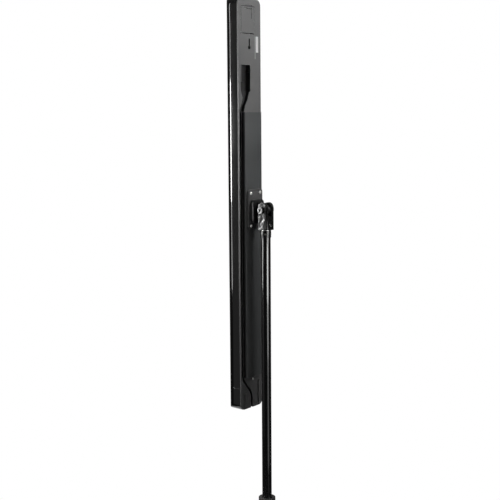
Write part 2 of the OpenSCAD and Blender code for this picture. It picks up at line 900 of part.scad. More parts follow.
module collar_screw() {
    color("silver") at_post() rotate([0, 0, knob_direction]) translate([0, 0, upper_z + 2])
        rod_x(clamp_r, post_r + 0.15, collar_r + 8.5 + 13);
}

module collar_knob() {
    color("black") at_post() rotate([0, 0, knob_direction]) translate([0, 0, upper_z + 2])
        knob_form(collar_r + 8.5);
}

module leg_tube(n) {
    color("black") along_leg(n) ring_z(leg_r, leg_bore, leg_start, leg_len - 2);
}

module leg_end(n) {
    color("black") along_leg(n) difference() {
        union() {
            rod_y(lug_r, -tongue_half, tongue_half);
            span([-lug_r, -tongue_half, 0], [lug_r, tongue_half, leg_start - 2]);
            rod_z(leg_r, leg_start - 3, leg_start);
            rod_z(leg_bore, leg_start - eps, leg_start + 22);
        }
        rod_y(pin_r + fit, -tongue_half - 1, tongue_half + 1);
    }
}

module leg_foot(n) {
    boot_r = leg_r + 2;
    color("black") difference() {
        along_leg(n) difference() {
            union() {
                translate([0, 0, leg_len]) sphere(foot_r);
                rod_z(boot_r, leg_len - 26, leg_len);
            }
            rod_z(leg_r, leg_len - 27, leg_len - 2);
        }
        translate([-2 * foot_radius, -2 * foot_radius, -foot_r * 2])
            cube([4 * foot_radius, 4 * foot_radius, foot_r * 2]);
    }
}

// Two flat bars, one each side of the leg, with a rivet head at the leg end of each
module strut(n) {
    bar_half_w = 6;
    color("black") along_strut(n) for (side = [0, 1]) mirror([0, side, 0]) {
        difference() {
            union() {
                rod_y(bar_half_w, bar_in, bar_out);
                translate([0, 0, strut_len]) rod_y(bar_half_w, bar_in, bar_out);
                span([-bar_half_w, bar_in, 0], [bar_half_w, bar_out, strut_len]);
            }
            rod_y(pin_r + fit, bar_in - 1, bar_out + 1);
        }
        translate([0, 0, strut_len]) rod_y(pin_r + 2, bar_out - eps, bar_out + 1.8);
    }
}

front_body();
top_cap();
bottom_cap();
screen_glass();
display_module();
backlight();
main_board();
board_spacers();
back_cover();
battery_tray();
cells();
cell_contacts();
battery_door();
power_inlet();
spine();
spine_screw();
tilt_bracket();
plate_screws();
pad_short();
pad_long();
rating_label();
fork();
friction_washers();
clevis_bolt();
lock_nut();
swivel_screw();
mast_tube();
mast_plug();
ferrule();
ferrule_screws();
mast_guide();
post_tube();
post_foot();
clutch_bush();
height_clutch();
clamp_screw();
clamp_knob();
lower_collar();
lower_pins();
leg_collar();
upper_pins();
collar_screw();
collar_knob();
leg_tube(0);  // leg_tube_1
leg_end(0);  // leg_end_1
leg_foot(0);  // leg_foot_1
strut(0);  // strut_1
leg_tube(1);  // leg_tube_2
leg_end(1);  // leg_end_2
leg_foot(1);  // leg_foot_2
strut(1);  // strut_2
leg_tube(2);  // leg_tube_3
leg_end(2);  // leg_end_3
leg_foot(2);  // leg_foot_3
strut(2);  // strut_3
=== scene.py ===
# %% [markdown]
# # An electronic music stand
#
# This lesson finishes a slim display panel that stands on a tilting fork, a gloss black pole and a folding
# tripod. The measured solids are loaded first and never move. Everything after that is about how the real
# thing is made and how it looks: moulded covers, sprayed tubes, turned screws, rubber and glass.

# %% Load the measured solids
import json
import math
import bpy
import bmesh
from mathutils import Matrix, Vector


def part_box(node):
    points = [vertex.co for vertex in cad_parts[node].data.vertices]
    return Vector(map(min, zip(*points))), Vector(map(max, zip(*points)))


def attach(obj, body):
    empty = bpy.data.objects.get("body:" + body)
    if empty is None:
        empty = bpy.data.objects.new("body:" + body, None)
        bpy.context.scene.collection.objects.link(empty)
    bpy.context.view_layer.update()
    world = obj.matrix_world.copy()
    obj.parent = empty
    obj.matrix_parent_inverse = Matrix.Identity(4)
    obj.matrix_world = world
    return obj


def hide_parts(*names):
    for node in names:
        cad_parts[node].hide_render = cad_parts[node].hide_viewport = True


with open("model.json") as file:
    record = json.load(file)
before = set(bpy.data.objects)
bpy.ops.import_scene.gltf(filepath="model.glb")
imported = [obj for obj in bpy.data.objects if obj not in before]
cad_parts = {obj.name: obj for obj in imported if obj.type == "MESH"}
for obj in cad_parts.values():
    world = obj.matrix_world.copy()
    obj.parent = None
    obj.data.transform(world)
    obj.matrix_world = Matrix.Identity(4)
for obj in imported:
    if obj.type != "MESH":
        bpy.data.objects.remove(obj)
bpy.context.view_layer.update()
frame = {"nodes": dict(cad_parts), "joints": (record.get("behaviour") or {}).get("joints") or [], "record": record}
nodes = frame["nodes"]
joints = {joint["name"]: joint for joint in frame["joints"]}

# %% [markdown]
# ## The camera
#
# A tall object is usually shown with a long lens from a few steps away, so that upright edges stay nearly
# parallel. The lens here is about 69 mm on a full-frame sensor. The camera looks at the back of the panel
# from one side, a little above the tilt axis, and the lower pole leaves the view. Its place is given from
# the tilt axis, so it would follow if the axis moved.

# %% Place the camera
tilt_axis = Vector(joints["panel_tilt"]["pos_m"])
UP = Vector((0, 0, 1))
CAMERA_AZIMUTH = math.radians(128.95)
CAMERA_DISTANCE = 2.139
CAMERA_RISE = 0.197
AIM_SIDE = -0.0356
AIM_DROP = 0.0909
CAMERA_ROLL = math.radians(-0.417)
LENS_MM = 68.96
NEAREST = 0.05

sight = Vector((math.sin(CAMERA_AZIMUTH), -math.cos(CAMERA_AZIMUTH), 0))
across = Vector((math.cos(CAMERA_AZIMUTH), math.sin(CAMERA_AZIMUTH), 0))
camera_place = tilt_axis + sight * CAMERA_DISTANCE + UP * CAMERA_RISE
aim = tilt_axis + across * AIM_SIDE - UP * AIM_DROP
forward = (aim - camera_place).normalized()
level = forward.cross(UP).normalized()
upright = level.cross(forward)
rolled_side = level * math.cos(CAMERA_ROLL) + upright * math.sin(CAMERA_ROLL)
rolled_up = upright * math.cos(CAMERA_ROLL) - level * math.sin(CAMERA_ROLL)

camera_data = bpy.data.cameras.new("camera")
camera_data.lens = LENS_MM
camera_data.clip_start = NEAREST
camera = bpy.data.objects.new("camera", camera_data)
turn = Matrix((rolled_side, rolled_up, -forward)).transposed()
camera.matrix_world = Matrix.Translation(camera_place) @ turn.to_4x4()
bpy.context.scene.collection.objects.link(camera)
bpy.context.scene.camera = camera
print("camera at", [round(v, 3) for v in camera_place])

# %% [markdown]
# ## The studio
#
# Black gloss has almost no colour of its own: it shows what stands round it. So the lights are chosen by
# what each surface reflects. One small softbox, high behind the stand, lights the matt back of the panel. Its
# beam is narrow and aimed high, so the light falls away down the panel, and it stands to one side so that the
# pole's soft shadow falls on the spine. Most of the others don't spread and only show as reflections: a
# column of three behind the stand draws the streak down the pole, a narrow strip in three parts draws the
# thin bright line down the panel's rounded edge, and a faint glow keeps the flat side from going dead black.
# Two more light the front and the floor and are kept out of the reflections. The surroundings are white to
# the camera and dim to everything else, as with a black flag round a white table.

# %% Hang the lights
def light_panel(name, bearing, distance, rise, width, height, watts, mirrored=True, spreads=True, aim=0.0,
                beam=180.0):
    """A soft rectangle of light. It aims at the tilt axis, or at a height above or below it.

    The bearing is in degrees in plan, from the +X side towards the back, and the beam is its full angle.
    Mirrored lights show in reflections, and those that spread light up matt surfaces.
    """
    data = bpy.data.lights.new(name, "AREA")
    data.shape = "RECTANGLE"
    data.size = width
    data.size_y = height
    data.energy = watts
    data.spread = math.radians(beam)
    lamp = bpy.data.objects.new(name, data)
    angle = math.radians(bearing)
    place = tilt_axis + Vector((math.cos(angle), math.sin(angle), 0)) * distance + UP * rise
    aimed = (tilt_axis + UP * aim - place).to_track_quat("-Z", "Y")
    lamp.matrix_world = Matrix.Translation(place) @ aimed.to_matrix().to_4x4()
    lamp.visible_camera = False
    lamp.visible_glossy = mirrored
    lamp.visible_diffuse = spreads
    bpy.context.scene.collection.objects.link(lamp)
    return lamp


light_panel("key_high", bearing=119, distance=1.25, rise=0.9, width=0.5, height=0.4, watts=2.35,
            aim=0.32, beam=62)
light_panel("key_streak", bearing=92, distance=2.5, rise=0.22, width=1.5, height=1.24, watts=27,
            spreads=False)
POLE_COLUMN = (("pole_high", -0.54, 1.5, 0.28, 10), ("pole_middle", -0.82, 1.4, 0.28, 3),
               ("pole_low", -1.24, 1.4, 0.56, 2))
for name, rise, width, height, watts in POLE_COLUMN:
    light_panel(name, bearing=80, distance=2.5, rise=rise, width=width, height=height, watts=watts,
                spreads=False)
EDGE_STRIP = (("strip_top", 0.53, 0.35, 2.2), ("strip_middle", 0.12, 0.46, 19.0),
              ("strip_low", -0.28, 0.34, 2.0))
for name, rise, height, watts in EDGE_STRIP:
    light_panel(name, bearing=-48.5, distance=1.6, rise=rise, width=0.2, height=height, watts=watts,
                spreads=False)
light_panel("casting_glint", bearing=-19, distance=1.5, rise=-0.2, width=0.12, height=0.24, watts=0.5,
            spreads=False)
light_panel("side_glow", bearing=-33, distance=1.6, rise=-0.05, width=0.6, height=2.0, watts=0.8,
            spreads=False)
light_panel("front_fill", bearing=-100, distance=2.6, rise=0.5, width=1.4, height=1.6, watts=20,
            mirrored=False)
light_panel("floor_glow", bearing=-88, distance=0.9, rise=1.4, width=2.4, height=2.4, watts=120,
            mirrored=False, aim=-1.2)

# %% Make the white surroundings
DIM = 0.06
DIM_IN_GLOSS = 0.025
world = bpy.data.worlds.new("studio")
bpy.context.scene.world = world
world.use_nodes = True
sky = world.node_tree
sky.nodes.clear()
ray = sky.nodes.new("ShaderNodeLightPath")
white = sky.nodes.new("ShaderNodeBackground")
white.inputs["Strength"].default_value = 1.0
white.inputs["Color"].default_value = (1, 1, 1, 1)
dim = sky.nodes.new("ShaderNodeBackground")
darker = sky.nodes.new("ShaderNodeMapRange")
darker.inputs["To Min"].default_value = DIM
darker.inputs["To Max"].default_value = DIM_IN_GLOSS
sky.links.new(ray.outputs["Is Glossy Ray"], darker.inputs["Value"])
sky.links.new(darker.outputs[0], dim.inputs["Strength"])
dim.inputs["Color"].default_value = (1, 1, 1, 1)
either = sky.nodes.new("ShaderNodeMixShader")
sky_end = sky.nodes.new("ShaderNodeOutputWorld")
sky.links.new(ray.outputs["Is Camera Ray"], either.inputs[0])
sky.links.new(dim.outputs[0], either.inputs[1])
sky.links.new(white.outputs[0], either.inputs[2])
sky.links.new(either.outputs[0], sky_end.inputs["Surface"])
bpy.context.scene.view_settings.view_transform = "Standard"
print("surroundings: white to the camera,", DIM, "to the object")

# %% [markdown]
# ## Small tools for building finishes
#
# A finish is a tree of nodes. Writing each link by hand is long, so one function adds a node and joins its
# inputs in a single call, and a few more do sums and mixes. Effects that many finishes share, such as the
# grain of a mould, are kept as groups with named sockets, so each finish can use them with its own values.

# %% Add and join nodes
def add(tree, kind, joined=None, **settings):
    """Adds a node. Each joined input takes a number, a colour or another node's output."""
    node = tree.nodes.new(kind)
    for name, value in settings.items():
        setattr(node, name, value)
    for name, value in (joined or {}).items():
        socket = node.inputs[name]
        if isinstance(value, bpy.types.NodeSocket):
            tree.links.new(value, socket)
        else:
            socket.default_value = value
    return node


def sums(tree, operation, first, second=0.0, clamp=False):
    """One step of arithmetic on two values."""
    node = add(tree, "ShaderNodeMath", {0: first, 1: second}, operation=operation, use_clamp=clamp)
    return node.outputs[0]


SHARE_SOCKET, FIRST_COLOUR_SOCKET, SECOND_COLOUR_SOCKET, MIXED_COLOUR_SOCKET = 0, 6, 7, 2


def blend_colours(tree, share, first, second):
    """Mixes two colours by a share from 0 to 1. The sockets go by number, as their names repeat."""
    node = add(tree, "ShaderNodeMix", data_type="RGBA")
    for index, value in ((SHARE_SOCKET, share), (FIRST_COLOUR_SOCKET, first), (SECOND_COLOUR_SOCKET, second)):
        if isinstance(value, bpy.types.NodeSocket):
            tree.links.new(value, node.inputs[index])
        else:
            node.inputs[index].default_value = value
    return node.outputs[MIXED_COLOUR_SOCKET]


def remap(tree, value, low, high, new_low, new_high):
    """Stretches a value from one range to another and holds it there."""
    node = add(tree, "ShaderNodeMapRange", {0: value, 1: low, 2: high, 3: new_low, 4: new_high})
    return node.outputs[0]


def grey(level):
    """An opaque grey of that level."""
    return (level, level, level, 1.0)


def new_group(name, inputs, outputs):
    """An empty node group with named sockets. Returns it with its two ends."""
    group = bpy.data.node_groups.new(name, "ShaderNodeTree")
    for label, value in inputs:
        made = group.interface.new_socket(name=label, in_out="INPUT", socket_type="NodeSocketFloat")
        made.default_value = value
    for label in outputs:
        group.interface.new_socket(name=label, in_out="OUTPUT", socket_type="NodeSocketFloat")
    return group, group.nodes.new("NodeGroupInput"), group.nodes.new("NodeGroupOutput")


print("node helpers ready")

# %% [markdown]
# ## Shared effects
#
# **Mould grain.** A moulded cover copies the spark-eroded skin of its steel mould: a fine, even roughness
# with slow patches where the melt cooled faster. Two sizes of noise give both.
#
# **Worn edges.** Hands polish the corners first. The Bevel node asks which way a rounded copy of the surface
# would face, and the difference from the real direction is a mask of the edges. Pointiness is the usual
# choice, but it reads corners only, and these long flat faces have corners only at their ends.
#
# **Settled dust.** Dust lies on what faces up. The direction is read in the piece's own space, so the dust
# stays where it is when the panel is tilted.
#
# **Sprayed skin.** Enamel on a tube dries with a soft ripple, wider than the grain of a mould.
#
# ** Painted shade in hollows.** The deep pockets, the channel and the slots of the door see little light, so
# their shade is painted in: a ramp along the depth of the panel darkens what lies below its back to near black.
#
# **Tool marks.** Turned and drawn steel carries fine lines, drawn here as noise that is stretched one way.

# %% Build the shared effects
LOW_NOISE, HIGH_NOISE = 0.3, 0.7
PIT_DEPTH = 0.45
FACET_TOLERANCE = 0.025
EDGE_GAIN = 9.0


def mould_grain():
    """Fine roughness with pits, and slow patches."""
    group, start, end = new_group("mould grain", [("Size", 2400.0), ("Patch Size", 22.0)],
                                  ["Height", "Patches"])
    place = add(group, "ShaderNodeTexCoord").outputs["Object"]
    fine = add(group, "ShaderNodeTexNoise", {"Vector": place, "Scale": start.outputs["Size"], "Detail": 3.0,
                                             "Roughness": 0.62})
    pits = add(group, "ShaderNodeTexVoronoi", {"Vector": place, "Scale": start.outputs["Size"]})
    slow = add(group, "ShaderNodeTexNoise", {"Vector": place, "Scale": start.outputs["Patch Size"],
                                             "Detail": 4.0})
    pitted = sums(group, "MULTIPLY", pits.outputs["Distance"], PIT_DEPTH)
    group.links.new(sums(group, "ADD", fine.outputs[0], pitted), end.inputs["Height"])
    patches = remap(group, slow.outputs[0], LOW_NOISE, HIGH_NOISE, 0.0, 1.0)
    group.links.new(patches, end.inputs["Patches"])
    return group


def worn_edges():
    """A patchy mask of the edges. A small turn is ignored, as it comes from the facets of a curve."""
    group, start, end = new_group("worn edges", [("Radius", 0.0008), ("Amount", 1.0), ("Break Up", 160.0)],
                                  ["Wear"])
    rounded = add(group, "ShaderNodeBevel", {"Radius": start.outputs["Radius"]}, samples=4)
    facing = add(group, "ShaderNodeNewGeometry").outputs["Normal"]
    alike = add(group, "ShaderNodeVectorMath", {0: rounded.outputs[0], 1: facing}, operation="DOT_PRODUCT")
    edge = sums(group, "SUBTRACT", 1.0, alike.outputs["Value"], clamp=True)
    clear_of_facets = sums(group, "SUBTRACT", edge, FACET_TOLERANCE, clamp=True)
    strong = sums(group, "MULTIPLY", clear_of_facets, EDGE_GAIN, clamp=True)
    place = add(group, "ShaderNodeTexCoord").outputs["Object"]
    rubbed = add(group, "ShaderNodeTexNoise", {"Vector": place, "Scale": start.outputs["Break Up"],
                                               "Detail": 3.0})
    patchy = remap(group, rubbed.outputs[0], 0.36, 0.62, 0.25, 1.0)
    worn = sums(group, "MULTIPLY", strong, patchy)
    group.links.new(sums(group, "MULTIPLY", worn, start.outputs["Amount"], clamp=True), end.inputs["Wear"])
    return group


def settled_dust():
    """Loose specks on what faces up."""
    group, start, end = new_group("settled dust", [("Amount", 0.2), ("Speck Size", 900.0)], ["Dust"])
    own = add(group, "ShaderNodeTexCoord")
    apart = add(group, "ShaderNodeSeparateXYZ", {0: own.outputs["Normal"]})
    lying = remap(group, apart.outputs["Z"], 0.1, 0.95, 0.12, 1.0)
    specks = add(group, "ShaderNodeTexNoise", {"Vector": own.outputs["Object"],
                                               "Scale": start.outputs["Speck Size"], "Detail": 2.0})
    loose = remap(group, specks.outputs[0], 0.45, 0.75, 0.2, 1.0)
    fall = sums(group, "MULTIPLY", lying, loose)
    group.links.new(sums(group, "MULTIPLY", fall, start.outputs["Amount"], clamp=True), end.inputs["Dust"])
    return group


def sprayed_skin():
    """A soft ripple, and marks of handling."""
    group, start, end = new_group("sprayed skin", [("Ripple Size", 260.0), ("Handling Size", 14.0)],
                                  ["Height", "Handling"])
    place = add(group, "ShaderNodeTexCoord").outputs["Object"]
    ripple = add(group, "ShaderNodeTexNoise", {"Vector": place, "Scale": start.outputs["Ripple Size"],
                                               "Detail": 1.5})
    rubs = add(group, "ShaderNodeTexNoise", {"Vector": place, "Scale": start.outputs["Handling Size"],
                                             "Detail": 5.0, "Roughness": 0.7})
    group.links.new(ripple.outputs[0], end.inputs["Height"])
    handling = remap(group, rubs.outputs[0], 0.35, HIGH_NOISE, 0.0, 1.0)
    group.links.new(handling, end.inputs["Handling"])
    return group


def painted_hollow_shade():
    """A mask for painted shade: 0 in the depth of the panel, 1 at its back, with a ramp between two depths."""
    group, start, end = new_group("shaded hollow", [("Dark At", 0.0), ("Clear At", 0.001)], ["Open"])
    place = add(group, "ShaderNodeTexCoord").outputs["Object"]
    depth = add(group, "ShaderNodeSeparateXYZ", {0: place}).outputs["Y"]
    ramp = add(group, "ShaderNodeMapRange", {"Value": depth, "From Min": start.outputs["Dark At"],
                                             "From Max": start.outputs["Clear At"]})
    group.links.new(ramp.outputs[0], end.inputs["Open"])
    return group


def tool_marks():
    """Fine lines that run one way."""
    group, start, end = new_group("tool marks", [("Across", 1500.0), ("Along", 40.0)], ["Height", "Shine"])
    place = add(group, "ShaderNodeTexCoord").outputs["Object"]
    stretch = add(group, "ShaderNodeCombineXYZ", {"X": start.outputs["Across"], "Y": start.outputs["Across"],
                                                  "Z": start.outputs["Along"]})
    pulled = add(group, "ShaderNodeVectorMath", {0: place, 1: stretch.outputs[0]}, operation="MULTIPLY")
    lines = add(group, "ShaderNodeTexNoise", {"Vector": pulled.outputs[0], "Scale": 1.0, "Detail": 2.0})
    group.links.new(lines.outputs[0], end.inputs["Height"])
    shine = remap(group, lines.outputs[0], LOW_NOISE, HIGH_NOISE, 0.0, 1.0)
    group.links.new(shine, end.inputs["Shine"])
    return group


GRAIN, WEAR, DUST = mould_grain(), worn_edges(), settled_dust()
SKIN, MARKS, HOLLOW_SHADE = sprayed_skin(), tool_marks(), painted_hollow_shade()
print("effects:", [g.name for g in (GRAIN, WEAR, DUST, SKIN, MARKS, HOLLOW_SHADE)])

# %% [markdown]
# ## From effects to finishes
#
# Every finish below has the same plan. A base colour is varied by patches, rubbed lighter along its edges
# and greyed by dust. Its roughness follows the same masks, and a bump carries the skin of the mould, the
# spray gun or the lathe. What makes each one its own material is the values, so they are written out for
# each: how dark, how rough, how deep the skin, how worn.

# %% Write the finish function
FINISHES = {}
DUST_COLOUR = (0.33, 0.32, 0.3, 1.0)
# The near-black colour of the painted shade in pockets, channels and slots.
PAINTED_SHADE_COLOUR = (0.002, 0.002, 0.002, 1.0)
DUST_ROUGHNESS = 0.5


def use(tree, group, **values):
    """Places a shared effect in a material with its own values."""
    node = add(tree, "ShaderNodeGroup", node_tree=group)
    for name, value in values.items():
        node.inputs[name.replace("_", " ")].default_value = value
    return node


def start_finish(name):
    """An empty material with its shader, joined to the output."""
    material = bpy.data.materials.new(name)
    material.use_nodes = True
    tree = material.node_tree
    shader = tree.nodes["Principled BSDF"]
    FINISHES[name] = material
    return material, tree, shader


def finish(name, colour, patch_colour, edge_colour, rough, spread, skin, depth, wear=0.6, dust=0.1,
           metallic=0.0, coat=0.0, coat_rough=0.1, skin_size=None, edge_radius=0.0008, patch_size=22.0,
           hollow=None):
    """A worn, dusty, textured finish, with painted shade in its hollows where a hollow is given.

    Skin is the group that gives its bump and its patches, and depth is how deep the bump reads. Spread is how
    much the roughness varies. Hollow gives the two depths between which the colour ramps into a near-black painted
    shade.
    """
    material, tree, shader = start_finish(name)
    shader.inputs["Metallic"].default_value = metallic
    shader.inputs["Coat Weight"].default_value = coat
    shader.inputs["Coat Roughness"].default_value = coat_rough
    surface = use(tree, skin)
    if skin_size:
        surface.inputs[0].default_value = skin_size
    if skin is not MARKS:
        surface.inputs[1].default_value = patch_size
    patches = surface.outputs[1]
    worn = use(tree, WEAR, Radius=edge_radius, Amount=wear).outputs[0]
    dusty = use(tree, DUST, Amount=dust).outputs[0]
    body = blend_colours(tree, patches, colour, patch_colour)
    rubbed = blend_colours(tree, worn, body, edge_colour)
    dusted_and_shaded = blend_colours(tree, dusty, rubbed, DUST_COLOUR)
    # Painted shade: where a hollow is given, the colour ramps to near black between its two depths.
    if hollow:
        clear_of_shade = use(tree, HOLLOW_SHADE, Dark_At=hollow[0], Clear_At=hollow[1]).outputs[0]
        dusted_and_shaded = blend_colours(tree, clear_of_shade, PAINTED_SHADE_COLOUR, dusted_and_shaded)
    tree.links.new(dusted_and_shaded, shader.inputs["Base Color"])
    varied = sums(tree, "ADD", sums(tree, "MULTIPLY", patches, spread), rough)
    smoothed = sums(tree, "SUBTRACT", varied, sums(tree, "MULTIPLY", worn, spread))
    matted = sums(tree, "ADD", smoothed, sums(tree, "MULTIPLY", dusty, DUST_ROUGHNESS), clamp=True)
    tree.links.new(matted, shader.inputs["Roughness"])
    bump = add(tree, "ShaderNodeBump", {"Height": surface.outputs[0], "Strength": 1.0, "Distance": depth})
    tree.links.new(bump.outputs[0], shader.inputs["Normal"])
    return material


print("finish function ready")

# %% [markdown]
# ## Plastics
#
# The front half is a gloss black shell, polished in the mould, so it keeps sharp reflections and shows every
# fingerprint. The back cover, its door and the spine are charcoal with a fine spark-eroded skin that breaks
# the light up. The spine comes from another mould and is a shade darker. Knobs and collars are a tougher,
# coarser nylon.

# %% Make the plastics
back_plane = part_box("back_cover")[1].y
spine_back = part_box("spine")[1].y
# Depths below the back between which shade is painted in: the cover's pockets, scoop and door slots, and the
# spine's side walls and the channel beside them, go near black.
POCKET_SHADE_RAMP = (0.0034, 0.0003)
CHANNEL_SHADE_RAMP = (0.0045, 0.0012)
# Heights above the bracket's plate between which its boss and tongue take a near-black painted shade.
BOSS_SHADE_RAMP = (0.0016, 0.0004)
finish("gloss_shell", grey(0.0035), grey(0.0055), grey(0.012), rough=0.06, spread=0.02, skin=GRAIN,
       depth=0.0, dust=0.02, patch_size=9.0)
# The cover's pockets, scoop and door slots carry painted shade.
finish("cover_plastic", grey(0.09), grey(0.105), grey(0.3), rough=0.44, spread=0.1, skin=GRAIN,
       depth=0.00003, wear=0.85, dust=0.1, skin_size=2600.0, edge_radius=0.002,
       hollow=[back_plane - depth for depth in POCKET_SHADE_RAMP])
# The spine's side walls and the channel beside them carry painted shade.
finish("spine_plastic", (0.047, 0.05, 0.051, 1), (0.056, 0.06, 0.061, 1), grey(0.14), rough=0.46,
       spread=0.1, skin=GRAIN, depth=0.00003, wear=1.0, dust=0.1, skin_size=2600.0, edge_radius=0.0014,
       hollow=[spine_back - depth for depth in CHANNEL_SHADE_RAMP])
finish("tray_plastic", grey(0.02), grey(0.03), grey(0.06), rough=0.5, spread=0.1, skin=GRAIN, depth=0.00003)
finish("socket_plastic", grey(0.008), grey(0.014), grey(0.04), rough=0.34, spread=0.1, skin=GRAIN,
       depth=0.00001)
finish("collar_plastic", grey(0.012), grey(0.018), grey(0.05), rough=0.4, spread=0.12, skin=GRAIN,
       depth=0.00005, wear=0.8, dust=0.2, skin_size=1700.0)
finish("knob_plastic", grey(0.01), grey(0.015), grey(0.05), rough=0.34, spread=0.14, skin=GRAIN,
       depth=0.00004, wear=0.9, dust=0.15, skin_size=1900.0)
finish("rubber", grey(0.014), grey(0.022), grey(0.05), rough=0.66, spread=0.12, skin=GRAIN, depth=0.00006,
       wear=0.6, dust=0.35, skin_size=1300.0, patch_size=60.0)
finish("display_film", grey(0.01), grey(0.014), grey(0.02), rough=0.25, spread=0.05, skin=GRAIN,
       depth=0.000002)
finish("light_guide", grey(0.7), grey(0.76), grey(0.8), rough=0.3, spread=0.05, skin=GRAIN, depth=0.000002)
print("plastics:", list(FINISHES))

# %% [markdown]
# ## Paint and metal
#
# The tubes are sprayed with gloss black enamel and rub through to a dull grey at their ends. The fork is a
# casting under a thinner coat, so its skin is lumpier and catches light in broken patches. The bracket is
# powder coated, and its boss and tongue, which stand in the fork's shadow, get a near-black painted shade. The
# screws are bright steel, and the contacts plated brass.

# %% Make the paints and metals
finish("pole_enamel", grey(0.004), grey(0.008), grey(0.05), rough=0.12, spread=0.04, skin=SKIN, depth=0.0,
       dust=0.05, coat=1.0, coat_rough=0.06)
finish("leg_enamel", grey(0.004), grey(0.007), grey(0.06), rough=0.2, spread=0.12, skin=SKIN,
       depth=0.000014, wear=0.8, dust=0.22, coat=0.5, coat_rough=0.1, skin_size=240.0)
finish("fork_paint", grey(0.006), grey(0.011), grey(0.09), rough=0.17, spread=0.1, skin=SKIN, depth=0.0014,
       wear=0.8, dust=0.05, coat=0.3, coat_rough=0.12, skin_size=95.0, edge_radius=0.0012)
screws_low, screws_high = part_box("plate_screws")
PAN_HEIGHT = 0.0022
plate_face = screws_high.y - PAN_HEIGHT
# Painted shade: what stands proud of the plate, the boss and the tongue, ramps to near black for the fork's
# shadow.
finish("bracket_paint", grey(0.068), grey(0.084), grey(0.2), rough=0.4, spread=0.1, skin=GRAIN,
       depth=0.00006, wear=0.6, dust=0.08, skin_size=1500.0,
       hollow=[plate_face + depth for depth in BOSS_SHADE_RAMP])
finish("bright_steel", (0.62, 0.62, 0.6, 1), (0.72, 0.72, 0.7, 1), grey(0.85), rough=0.24, spread=0.12,
       skin=MARKS, depth=0.000004, wear=0.5, dust=0.05, metallic=1.0)
finish("brass", (0.6, 0.45, 0.2, 1), (0.7, 0.52, 0.24, 1), (0.8, 0.65, 0.35, 1), rough=0.28, spread=0.12,
       skin=MARKS, depth=0.000004, dust=0.05, metallic=1.0)
print("finishes so far:", len(FINISHES))

# %% [markdown]
# ## Glass, board, cells and label
#
# These four aren't one colour all over. The unlit glass is nearly black with a faint smear of handling. The
# board carries copper tracks under green lacquer, drawn with a brick pattern. A cell has a coloured sleeve
# with a pale band at one end. The label is a blank white sticker of slightly fibrous film.

# %% Make the patterned finishes
def glass_finish():
    """Nearly black glass with a faint smear of handling."""
    material, tree, shader = start_finish("screen_glass")
    surface = use(tree, SKIN, Ripple_Size=40.0, Handling_Size=9.0)
    smear = remap(tree, surface.outputs["Handling"], 0.0, 1.0, 0.04, 0.13)
    tree.links.new(smear, shader.inputs["Roughness"])
    deep = blend_colours(tree, surface.outputs["Handling"], grey(0.0022), grey(0.004))
    tree.links.new(deep, shader.inputs["Base Color"])
    shader.inputs["IOR"].default_value = 1.52


def board_finish():
    """Green lacquer over a pattern of tracks."""
    material, tree, shader = start_finish("board_green")
    place = add(tree, "ShaderNodeTexCoord").outputs["Object"]
    turned = add(tree, "ShaderNodeMapping", {"Vector": place, "Rotation": (math.radians(90), 0, 0)})
    tracks = add(tree, "ShaderNodeTexBrick", {"Vector": turned.outputs[0], "Scale": 160.0,
                                              "Mortar Size": 0.05})
    lacquer = blend_colours(tree, tracks.outputs["Fac"], (0.012, 0.09, 0.03, 1), (0.03, 0.16, 0.05, 1))
    tree.links.new(lacquer, shader.inputs["Base Color"])
    tree.links.new(remap(tree, tracks.outputs["Fac"], 0, 1, 0.42, 0.3), shader.inputs["Roughness"])
    relief = add(tree, "ShaderNodeBump", {"Height": tracks.outputs["Fac"], "Distance": 0.00005})
    tree.links.new(relief.outputs[0], shader.inputs["Normal"])


def cell_finish(band_height):
    """A coloured sleeve that ends in a pale band above the given height."""
    material, tree, shader = start_finish("cell_wrap")
    surface = use(tree, SKIN)
    place = add(tree, "ShaderNodeTexCoord").outputs["Object"]
    height = add(tree, "ShaderNodeSeparateXYZ", {0: place}).outputs["Z"]
    sleeve = sums(tree, "GREATER_THAN", height, band_height)
    coloured = blend_colours(tree, sleeve, (0.03, 0.1, 0.22, 1), (0.5, 0.42, 0.24, 1))
    scuffed = blend_colours(tree, surface.outputs["Handling"], coloured, grey(0.2))
    tree.links.new(scuffed, shader.inputs["Base Color"])
    tree.links.new(remap(tree, surface.outputs["Handling"], 0, 1, 0.22, 0.4), shader.inputs["Roughness"])


def label_finish():
    """Blank white film with a slight fibre."""
    material, tree, shader = start_finish("label_white")
    surface = use(tree, GRAIN, Size=1800.0, Patch_Size=90.0)
    film = blend_colours(tree, surface.outputs["Patches"], grey(0.66), grey(0.56))
    tree.links.new(film, shader.inputs["Base Color"])
    tree.links.new(remap(tree, surface.outputs["Patches"], 0, 1, 0.35, 0.5), shader.inputs["Roughness"])
    fibre = add(tree, "ShaderNodeBump", {"Height": surface.outputs["Height"], "Distance": 0.00001})
    tree.links.new(fibre.outputs[0], shader.inputs["Normal"])


BAND_SHARE = 0.3
cells_low, cells_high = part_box("cells")
glass_finish()
board_finish()
cell_finish(cells_high.z - (cells_high.z - cells_low.z) * BAND_SHARE)
label_finish()
finish("pad_rubber", grey(0.085), grey(0.1), grey(0.16), rough=0.6, spread=0.1, skin=GRAIN, depth=0.00005,
       skin_size=1300.0, patch_size=60.0)
finish("black_oxide", grey(0.1), grey(0.16), grey(0.5), rough=0.22, spread=0.1, skin=MARKS, depth=0.000006,
       metallic=1.0, wear=0.9)
finish("print_grey", grey(0.2), grey(0.24), grey(0.3), rough=0.45, spread=0.08, skin=GRAIN, depth=0.000005,
       wear=0.2)
print("all finishes:", sorted(FINISHES))

